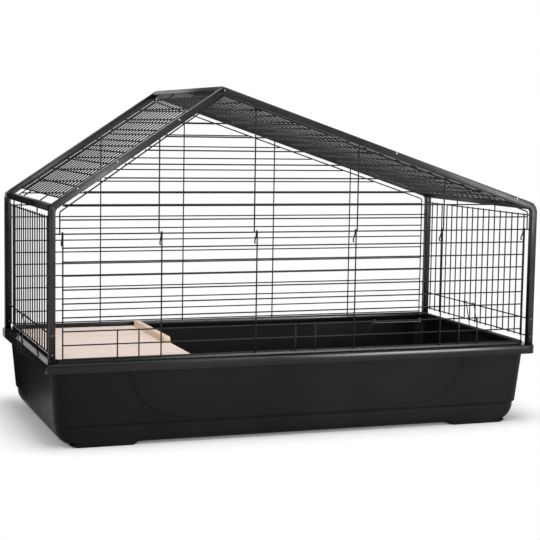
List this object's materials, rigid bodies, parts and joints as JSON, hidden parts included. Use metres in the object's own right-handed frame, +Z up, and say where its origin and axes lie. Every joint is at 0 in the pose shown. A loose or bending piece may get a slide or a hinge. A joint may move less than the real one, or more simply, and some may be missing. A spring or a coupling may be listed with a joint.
{
  "type": "rabbit cage",
  "caption": "House-shaped wire cage for rabbits on a deep moulded tray, with a pitched grille roof, a hinged front door, side latches and a wooden shelf.",
  "frame": {"origin": "on the floor, under the middle of the tray", "axes": "+X to the right and +Y to the back, seen from the front; +Z up"},
  "size_m": [1.196, 0.596, 0.7926],
  "materials": {
    "tray_plastic": "satin moulded",
    "frame_black": "satin powder coat",
    "wire_black": "satin powder coat",
    "door_wire": "satin powder coat",
    "latch_wire": "satin powder coat",
    "stay_wire": "satin powder coat",
    "plywood": "sanded, unvarnished",
    "batten_wood": "planed, unvarnished",
    "screw_steel": "bright zinc"
  },
  "bodies": {
    "cage": {"tray": "tray_plastic", "frame_front_left": "frame_black", "frame_front_right": "frame_black", "frame_rear_left": "frame_black", "frame_rear_right": "frame_black", "ridge_beam": "frame_black", "eave_rail_left": "frame_black", "eave_rail_right": "frame_black", "gable_grille": "wire_black", "rear_grille": "wire_black", "side_grille_left": "wire_black", "side_grille_right": "wire_black", "roof_grille_left": "wire_black", "roof_grille_right": "wire_black", "screws_front": "screw_steel", "screws_rear": "screw_steel"},
    "door": {"front_door": "door_wire"},
    "stay": {"door_stay": "stay_wire"},
    "latch_l": {"latch_left": "latch_wire"},
    "latch_r": {"latch_right": "latch_wire"},
    "shelf": {"shelf_board": "plywood", "shelf_batten": "batten_wood", "shelf_panel_left": "plywood", "shelf_panel_right": "plywood"}
  },
  "joints": [
    {"name": "door_hinge", "type": "hinge", "parent": "cage", "child": "door", "pos_m": [0, -0.2845, 0.471], "axis": [-1, 0, 0], "range_deg": [0, 150]},
    {"name": "stay_pivot", "type": "hinge", "parent": "door", "child": "stay", "pos_m": [0.23, -0.2848, 0.261], "axis": [1, 0, 0], "range_deg": [-30, 60]},
    {"name": "latch_left_pivot", "type": "hinge", "parent": "cage", "child": "latch_l", "pos_m": [-0.5815, 0.0265, 0.254], "axis": [0, 1, 0], "range_deg": [0, 100]},
    {"name": "latch_right_pivot", "type": "hinge", "parent": "cage", "child": "latch_r", "pos_m": [0.5815, 0.0265, 0.254], "axis": [0, -1, 0], "range_deg": [0, 100]},
    {"name": "shelf_lift", "type": "slide", "parent": "cage", "child": "shelf", "axis": [0, 0, 1], "range_m": [0, 0.12]}
  ]
}
